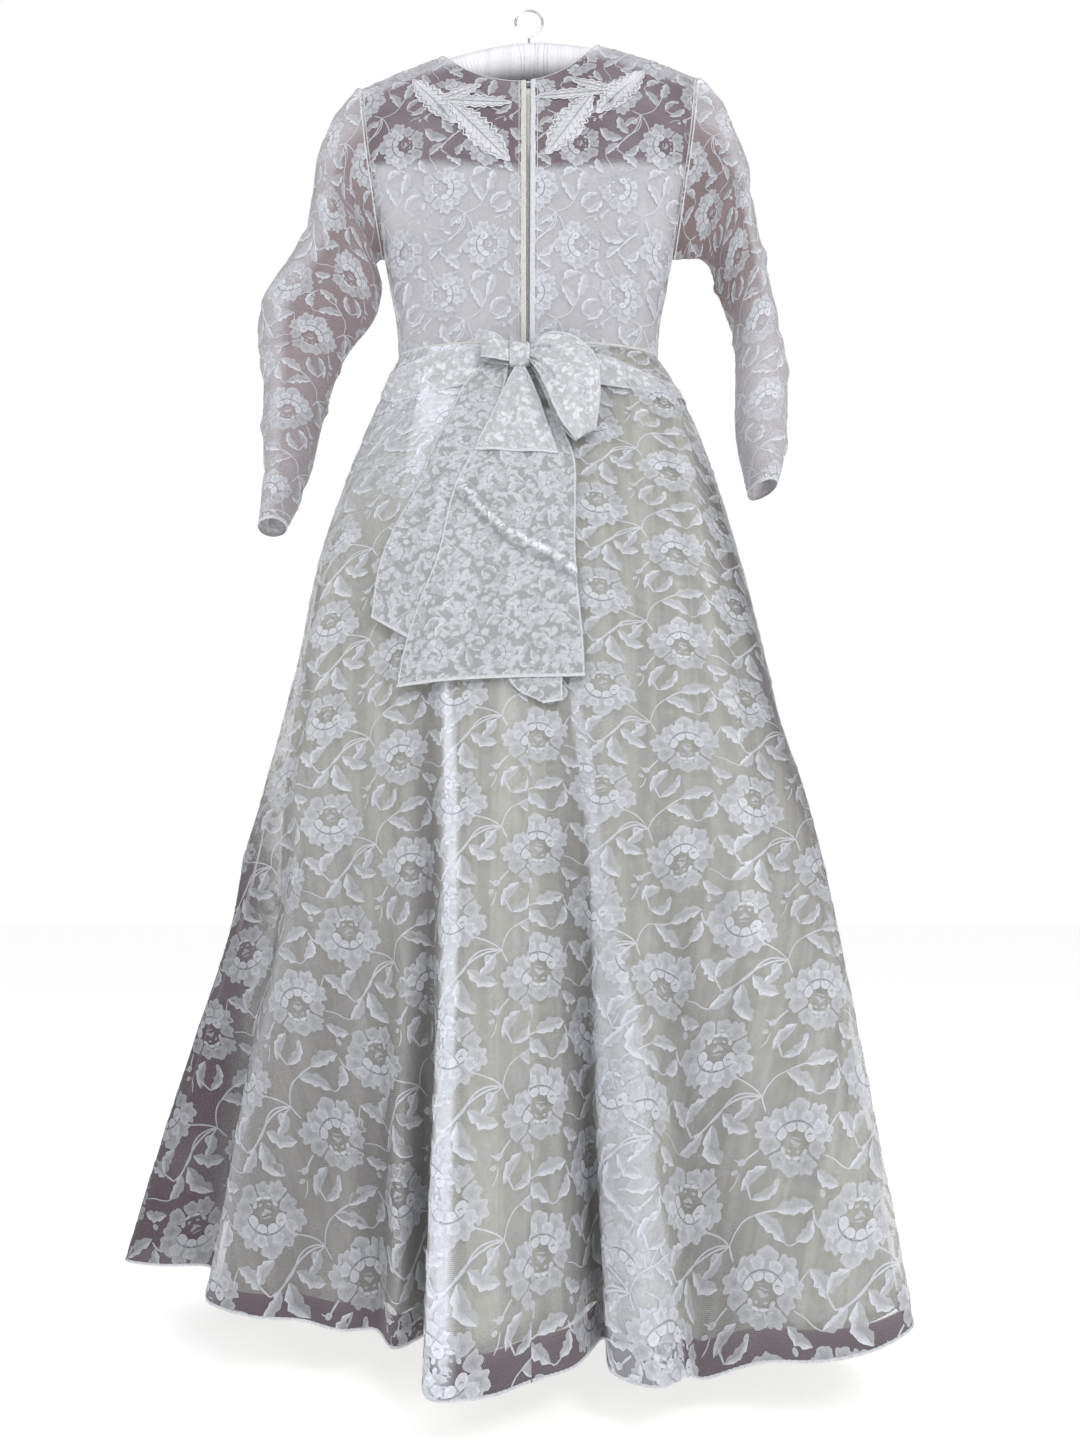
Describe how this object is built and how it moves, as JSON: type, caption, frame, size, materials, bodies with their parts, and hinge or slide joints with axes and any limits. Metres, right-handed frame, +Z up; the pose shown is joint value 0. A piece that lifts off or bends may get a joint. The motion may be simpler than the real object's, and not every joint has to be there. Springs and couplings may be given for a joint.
{
  "type": "wedding dress on a padded hanger",
  "caption": "Floor-length long-sleeved lace wedding dress with a strapless lining, back zip and soft bow, hanging open and empty on a padded satin hanger.",
  "frame": {"origin": "inside top of the hanger's hook, where a rail or peg holds it", "axes": "+Z up along the hanging dress, -Y the back of the dress with the zip and the bow, +Y its front, +X the wearer's right"},
  "size_m": [0.7229, 0.481, 1.5915],
  "materials": {
    "lace": "matte",
    "lining": "matte",
    "bow_lace": "matte",
    "satin": "satin",
    "zip_tape": "matte",
    "zip_metal": "satin",
    "hook_metal": "polished"
  },
  "bodies": {
    "root": {"bodice_back_left": "lace", "bodice_back_right": "lace", "bodice_front": "lace", "skirt_back_left": "lace", "skirt_back_right": "lace", "skirt_front": "lace", "sleeve_left": "lace", "sleeve_right": "lace", "applique_left": "lace", "applique_right": "lace", "bodice_lining_back_left": "lining", "bodice_lining_back_right": "lining", "bodice_lining_front": "lining", "skirt_lining_back": "lining", "skirt_lining_front": "lining", "sash_left": "bow_lace", "sash_right": "bow_lace", "bow_knot": "bow_lace", "bow_loop_left": "bow_lace", "bow_loop_right": "bow_lace", "bow_drop": "bow_lace", "bow_tail_left": "bow_lace", "bow_tail_centre": "bow_lace", "bow_tail_under": "bow_lace", "zip_tape": "zip_tape", "zip_slider": "zip_metal", "hanger_pad": "satin", "hanger_hook": "hook_metal"}
  },
  "joints": []
}
